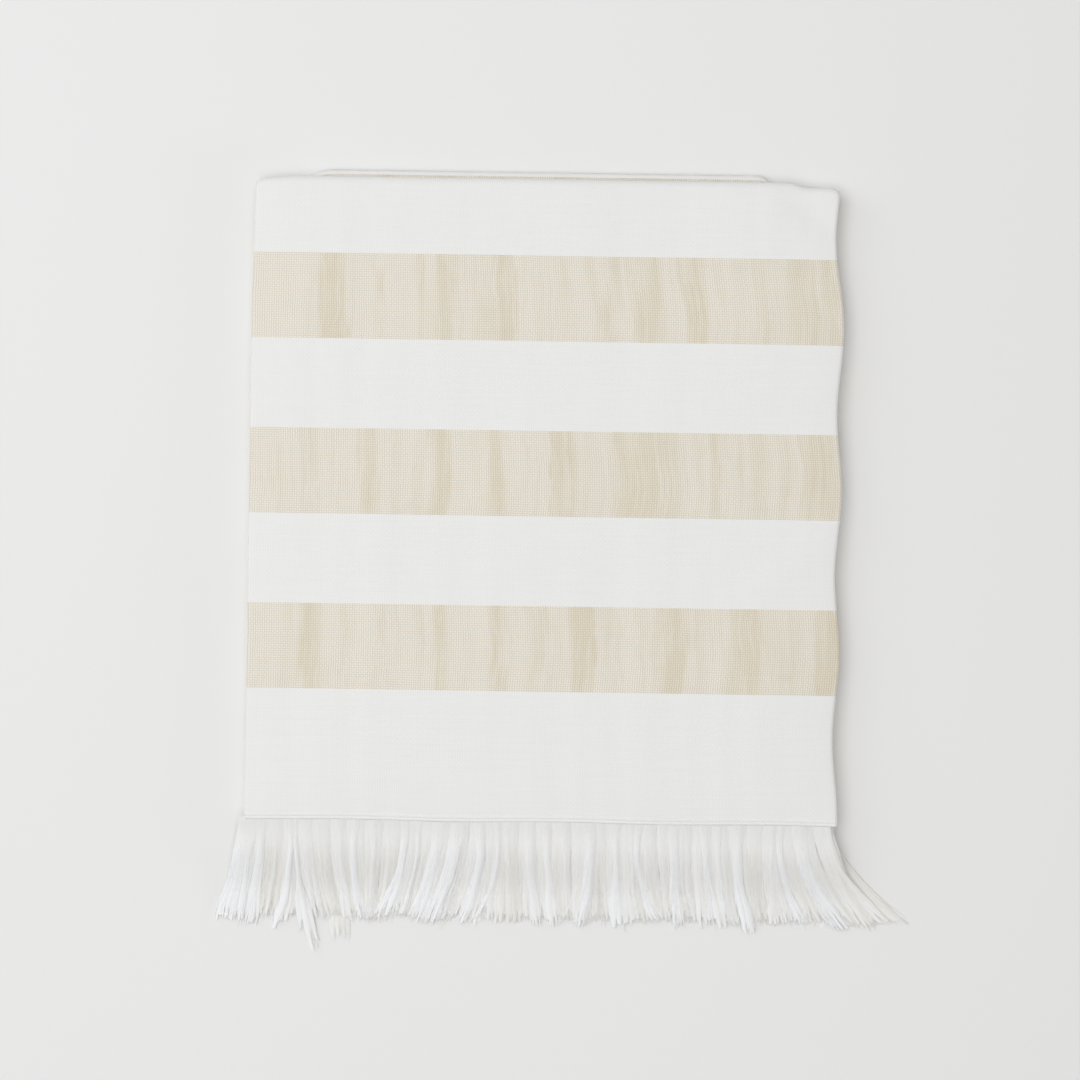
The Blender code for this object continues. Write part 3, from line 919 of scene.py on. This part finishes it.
def bumped(height, strength, distance):
    inputs = {"Strength": strength, "Distance": distance, "Height": height}
    return addNode("ShaderNodeBump", inputs).outputs[0]


crossing = {
    "wandering": (70.0, 3.0),  # scale and detail of the noise that shifts the threads
    "rise": 0.45,  # of the upper thread where two cross
    "tilt": 1.6,  # how much the gaps favour one way in places
    # painted shade between neighbouring threads and in the holes: where it starts, and how dark
    "lines": (0.1, 0.75, 0.6, 0.0),
    "holeShade": (0.25, 0.85, 0.4, 0.0),
    "cover": (-0.35, 0.35, 0.0, 1.0),
    "height": 0.7,
}


def plainWeave():  # threads over and under each other, from a map in metres; its gap output is painted shade between the threads
    tree = bpy.data.node_groups.new("plainWeave", "ShaderNodeTree")
    sockets = (("Map", "INPUT", "Vector"), ("Pitch", "INPUT", "Float"), ("Wander", "INPUT", "Float"),
               ("Warp Width", "INPUT", "Float"), ("Height", "OUTPUT", "Float"), ("Warp", "OUTPUT", "Float"),
               ("GapShade", "OUTPUT", "Float"))
    for name, way, kind in sockets:
        tree.interface.new_socket(name=name, in_out=way, socket_type="NodeSocket" + kind)
    given = addNode("NodeGroupInput", tree=tree).outputs
    shift = noiseNode(given["Map"], *crossing["wandering"])["Color"]
    centred = vectorNode("SUBTRACT", {0: shift, 1: (0.5, 0.5, 0.5)})
    wander = vectorNode("SCALE", {0: centred, "Scale": given["Wander"]})
    threads = vectorNode("DIVIDE", {0: given["Map"], 1: given["Pitch"]})
    moved = coordinates(vectorNode("ADD", {0: threads, 1: wander}))
    acrossWarp, acrossWeft = (mathNode("SINE", times(moved[axis], math.pi)) for axis in (0, 1))
    over = times(acrossWarp, acrossWeft)
    warpRidge = mathNode("ABSOLUTE", acrossWarp)
    weftRidge = mathNode("ABSOLUTE", acrossWeft)
    warpUp = times(over, crossing["rise"], warpRidge)
    weftUp = times(over, -crossing["rise"], weftRidge)
    height = mathNode("MAXIMUM", warpUp, weftUp)
    tilt = coordinates(centred)[2]
    warpSide = times(tilt, crossing["tilt"], warpRidge)
    weftSide = times(tilt, -crossing["tilt"], weftRidge)
    # painted shade: darker lines between neighbouring threads, and darker holes where no thread lies on top
    lines = remap(mathNode("MINIMUM", warpSide, weftSide), crossing["lines"])
    holeShade = remap(height, crossing["holeShade"])
    wide = mathNode("ADD", mathNode("SUBTRACT", warpUp, weftUp), given["Warp Width"])
    addNode("NodeGroupOutput", {
        "Height": times(height, crossing["height"]),
        "Warp": remap(wide, crossing["cover"]),
        "GapShade": mathNode("ADD", lines, holeShade),
    })
    arrange(tree)
    return tree


weave = {
    "pitch": 1.3 * mm,
    "wander": 1.1,
    "bandPitch": 99 * mm,
    "bandStart": 73.5 * mm,
    "bandWidth": 48.5 * mm,
    "edge": 0.35 * mm,
    "whiteWarp": (0.824, 0.822, 0.810, 1.0),
    "whiteWeft": (0.808, 0.806, 0.793, 1.0),
    "beigeWarp": (0.836, 0.792, 0.710, 1.0),
    "beigeWeft": (0.804, 0.748, 0.648, 1.0),
    # darker and yellower in the puckers: partly the beige weft showing more, partly painted shade of the
    # puckers' folds
    "puckerWeftAndShade": (0.915, 0.893, 0.820, 1.0),
    "puckerCover": -0.25,
    "puckerRelief": -0.9,
    "puckerWander": 0.034,
    "puckerSlant": 12 * mm,
    "gathered": (0.0, 1.0, -0.05, 0.22),  # more puckers towards the right
    "wrinkleDepth": 1.7,
    "streakDepth": 1.2,
    "streakFade": (0.3, 0.7, 0.1, 0.6),
    "softFade": (0.3, 0.7, 0.2, 0.7),
    "cover": 0.05,  # of the weft by the warp
    "lineCover": 0.55,
    "bandCover": 0.35,
    # painted shade in the weave's gaps: how dark in the white and in the beige stripes
    "whiteGapShade": 0.03,
    "beigeGapShade": 0.24,
    "lineShade": (0.3, 0.7, 0.991, 1.006),
    "bandShade": (0.3, 0.7, 0.988, 1.007),
    "fuzz": (2600.0, 3.0),  # scale and detail
    "fuzzHeight": 0.35,
    "roughness": (0.2, 0.8, 0.86, 0.98),
    "shader": {"Specular IOR Level": 0.2, "Sheen Weight": 0.12, "Sheen Roughness": 0.5},
    "bump": (0.20, 0.30 * mm),  # strength and depth
    "drift": ((16, 34, 1), 3.0),  # this and the next six: how finely a noise changes each way, and its detail
    "streaks": ((330, 14, 1), 2.0),
    "wrinkles": ((95, 9, 1), 2.0),
    "fading": ((25, 40, 1), 1.0),
    "warpLines": ((520, 5, 1), 2.0),
    "softBands": ((60, 4, 1), 2.0),
    "weftLines": ((18, 620, 1), 2.0),
}


def stripeMask(way, flatLength):  # 1 in the beige stripes; and the stripe's number in a repeat of three
    whiteBefore = weave["bandPitch"] - weave["bandWidth"]
    fromFirst = mathNode("SUBTRACT", way, weave["bandStart"] - whiteBefore)
    inRepeat = mathNode("MODULO", fromFirst, weave["bandPitch"])
    rise = remap(inRepeat, (whiteBefore, whiteBefore + weave["edge"], 0.0, 1.0))
    fromStart = remap(fromFirst, (0.0, weave["edge"], 0.0, 1.0))
    lastEdge = flatLength - whiteBefore - weave["edge"]
    toEnd = remap(way, (lastEdge, lastEdge + weave["edge"], 1.0, 0.0))
    mask = times(rise, times(fromStart, toEnd))
    repeat = mathNode("FLOOR", mathNode("DIVIDE", fromFirst, weave["bandPitch"]))
    return mask, mathNode("MODULO", repeat, len(puckers))


def puckerBands(place, stripeNumber):  # the listed bands, each set in its own stripe
    total = 0.0
    for number, bands in enumerate(puckers):
        ramp = addNode("ShaderNodeValToRGB", {0: place})
        elements = ramp.color_ramp.elements
        for index, (position, depth) in enumerate(puckerStops(bands)):
            element = elements[index] if index < 2 else elements.new(position)
            element.position = position
            element.color = (depth, depth, depth, 1.0)
        here = mathNode("COMPARE", stripeNumber, float(number), 0.25)
        total = times(here, ramp.outputs[0], total)
    return total


def puckerMask(chart, across, stripeNumber):  # how deep the puckers are here, 0 to 1
    uRight, uLeft = outerPanelMap()
    share = remap(across, (uLeft, uRight, 0.0, 1.0), "LINEAR")
    drift = patternNoise(chart, *weave["drift"])
    bands = puckerBands(swung(drift, weave["puckerWander"], share), stripeNumber)
    slant = addNode("ShaderNodeCombineXYZ", {0: swung(drift, weave["puckerSlant"], 0.0)})
    warped = vectorNode("ADD", {0: chart, 1: slant.outputs[0]})
    streaks = patternNoise(warped, *weave["streaks"])
    wrinkles = patternNoise(warped, *weave["wrinkles"])
    fading = patternNoise(chart, *weave["fading"])
    uneven = mathNode("ADD", remap(streaks, weave["streakFade"], "LINEAR"),
                      remap(fading, weave["softFade"], "LINEAR"))
    gathered = remap(share, weave["gathered"], "LINEAR")
    folds = swung(wrinkles, weave["wrinkleDepth"], gathered)
    streaky = swung(streaks, weave["streakDepth"], folds)
    return times(bands, uneven, streaky, clamp=True)


def clothMaterial(weaveGroup, flatLength):
    material, tree = newMaterial("stripedCotton")
    chart = addNode("ShaderNodeUVMap", tree=tree, uv_map="weaveMap").outputs[0]
    across, way = coordinates(chart)[:2]
    stripe, stripeNumber = stripeMask(way, flatLength)
    weft = mixColour(stripe, weave["whiteWeft"], weave["beigeWeft"])
    warp = mixColour(stripe, weave["whiteWarp"], weave["beigeWarp"])
    pucker = times(puckerMask(chart, across, stripeNumber), stripe)

    # how well the warp covers the weft: less in the puckers, and uneven from thread to thread
    warpLines, softBands, weftLines = (
        patternNoise(chart, *weave[name]) for name in ("warpLines", "softBands", "weftLines"))
    covering = times(pucker, weave["puckerCover"], weave["cover"])
    covering = swung(warpLines, weave["lineCover"], covering)
    covering = swung(softBands, weave["bandCover"], covering)

    cell = addNode("ShaderNodeGroup", {
        "Map": chart, "Pitch": weave["pitch"], "Wander": weave["wander"], "Warp Width": covering,
    }, node_tree=weaveGroup).outputs
    thread = mixColour(cell["Warp"], weft, warp)
    # painted shade in the weave's gaps, deeper in the beige stripes
    gapShadeDepth = remap(stripe, (0.0, 1.0, weave["whiteGapShade"], weave["beigeGapShade"]))
    gapShadeFactor = mathNode("SUBTRACT", 1.0, times(cell["GapShade"], gapShadeDepth))
    gapShaded = mixColour(1.0, thread, gapShadeFactor, "MULTIPLY")
    # in the puckers: the beige weft showing more, and painted shade of their folds
    woven = mixColour(pucker, gapShaded, mixColour(1.0, gapShaded, weave["puckerWeftAndShade"], "MULTIPLY"))
    slub = times(remap(weftLines, weave["lineShade"], "LINEAR"),
                 remap(softBands, weave["bandShade"], "LINEAR"))
    fuzz = noiseNode(chart, *weave["fuzz"])[0]
    surface = times(fuzz, weave["fuzzHeight"], cell["Height"])
    surface = times(pucker, weave["puckerRelief"], surface)
    finish(tree, weave, {
        "Base Color": mixColour(1.0, woven, slub, "MULTIPLY"),
        "Roughness": remap(fuzz, weave["roughness"], "LINEAR"),
        "Normal": bumped(surface, *weave["bump"]),
    })
    return material


yarn = {
    # the ends of the tone range: random tone, and painted light, pale and bluish for raised locks, warm and
    # darker for low and sunk ones
    "pale": (0.877, 0.882, 0.892, 1.0),
    "warm": (0.793, 0.780, 0.736, 1.0),
    "rootTone": 0.35,
    "toneFade": (0.12, 0.48, 0.0, 1.0),  # tones differ only from here on along a thread
    # painted shadow: threads darker over the first 30% of their length, for the hem's shadow on the roots
    "paintedRootShadow": (0.0, 0.30, 0.92, 1.0),
    "fibre": ((2500, 600, 2500), 2.0),
    "fibreShade": (0.25, 0.75, 0.985, 1.0),
    "roughness": (0.2, 0.8, 0.85, 0.97),
    "shader": {"Specular IOR Level": 0.2, "Sheen Weight": 0.35, "Sheen Roughness": 0.5},
    "bump": (0.4, 0.1 * mm),
}


def yarnMaterial():
    material, tree = newMaterial("looseCottonYarn")
    tone, along = coordinates(addNode("ShaderNodeUVMap", tree=tree, uv_map="yarnMap").outputs[0])[:2]
    centred = mathNode("SUBTRACT", tone, yarn["rootTone"])
    tone = times(centred, remap(along, yarn["toneFade"]), yarn["rootTone"])
    fibre = patternNoise(addNode("ShaderNodeTexCoord", tree=tree).outputs["Object"], *yarn["fibre"])
    # the fibres' random tone, times the painted shadow near the hem
    fibreToneAndRootShadow = times(remap(fibre, yarn["fibreShade"], "LINEAR"), remap(along, yarn["paintedRootShadow"]))
    colour = mixColour(tone, yarn["pale"], yarn["warm"])
    finish(tree, yarn, {
        "Base Color": mixColour(1.0, colour, fibreToneAndRootShadow, "MULTIPLY"),
        "Roughness": remap(fibre, yarn["roughness"], "LINEAR"),
        "Normal": bumped(fibre, *yarn["bump"]),
    })
    return material


ground = {
    "dark": (0.790, 0.790, 0.784, 1.0),
    "pale": (0.802, 0.802, 0.796, 1.0),
    "cloud": (1.5, 2.0),
    "shader": {"Specular IOR Level": 0.0, "Roughness": 1.0},
}


def floorMaterial():
    material, tree = newMaterial("paleFloor")
    cloud = noiseNode(addNode("ShaderNodeTexCoord", tree=tree).outputs["Object"], *ground["cloud"])[0]
    finish(tree, ground, {"Base Color": mixColour(cloud, ground["dark"], ground["pale"])})
    return material


# Room, light and camera

room = {
    "floorSize": 8.0,
    "skyColour": (1.0, 0.995, 0.985, 1.0),
    "skyStrength": 0.345,
    "bounces": 24,
    "diffuseBounces": 22,
    "lights": (  # name, place, size, power, colour
        ("softbox", (-0.60, 0.15, 3.0), 2.6, 65.0, (1.0, 0.995, 0.990)),
        ("window", (-2.3, 0.8, 1.5), 1.8, 15.5, (0.88, 0.945, 1.0)),
        ("fill", (3.0, -1.2, 0.9), 1.0, 8.0, (1.0, 0.985, 0.96)),
    ),
}

eye = {
    "middle": (-2.0 * mm, -22.6 * mm),
    "height": 2.2,
    "field": 0.610,  # width in view at the towel's top
    "turn": 0.85,  # degrees
    "sensor": 36.0,
}


def lightRoom():
    world = bpy.data.worlds.new("softDaylight")
    bpy.context.scene.world = world
    world.use_nodes = True
    background = world.node_tree.nodes["Background"]
    background.inputs["Color"].default_value = room["skyColour"]
    background.inputs["Strength"].default_value = room["skyStrength"]
    for name, place, size, power, colour in room["lights"]:
        aim = (-Vector(place)).to_track_quat("-Z", "Y").to_euler()
        bpy.ops.object.light_add(type="AREA", location=place, rotation=aim)
        lamp = bpy.context.active_object
        lamp.name = name
        lamp.data.shape = "SQUARE"
        lamp.data.size = size
        lamp.data.energy = power
        lamp.data.color = colour
    scene = bpy.context.scene
    scene.view_settings.view_transform = "Standard"
    scene.cycles.max_bounces = room["bounces"]
    scene.cycles.diffuse_bounces = room["diffuseBounces"]


def layFloor():
    bpy.ops.object.select_all(action="DESELECT")
    bpy.ops.mesh.primitive_plane_add(size=room["floorSize"], location=(0, 0, 0))
    floor = bpy.context.active_object
    floor.name = "floor"
    floor.data.materials.append(floorMaterial())
    return floor


def placeCamera():
    bpy.ops.object.select_all(action="DESELECT")
    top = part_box("towel_cloth")[1].z
    place = (*eye["middle"], eye["height"])
    bpy.ops.object.camera_add(location=place, rotation=(0, 0, math.radians(eye["turn"])))
    camera = bpy.context.active_object
    camera.name = "overheadCamera"
    camera.data.sensor_width = eye["sensor"]
    camera.data.lens = eye["sensor"] * (eye["height"] - top) / eye["field"]
    camera.data.dof.use_dof = False
    bpy.context.scene.camera = camera


# Put together

placeCamera()
lightRoom()
floor = layFloor()
print("room: camera, lights and floor")

sheet, flatSize = layCloth()
sheet.data.materials.clear()
sheet.data.materials.append(clothMaterial(plainWeave(), flatSize[1]))
yarnFinish = yarnMaterial()
fringePieces = hangFringe()
for node, piece in fringePieces:
    piece.data.materials.append(yarnFinish)
    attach(piece, "root")
    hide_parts(node)

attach(sheet, "root")
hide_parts("towel_cloth")
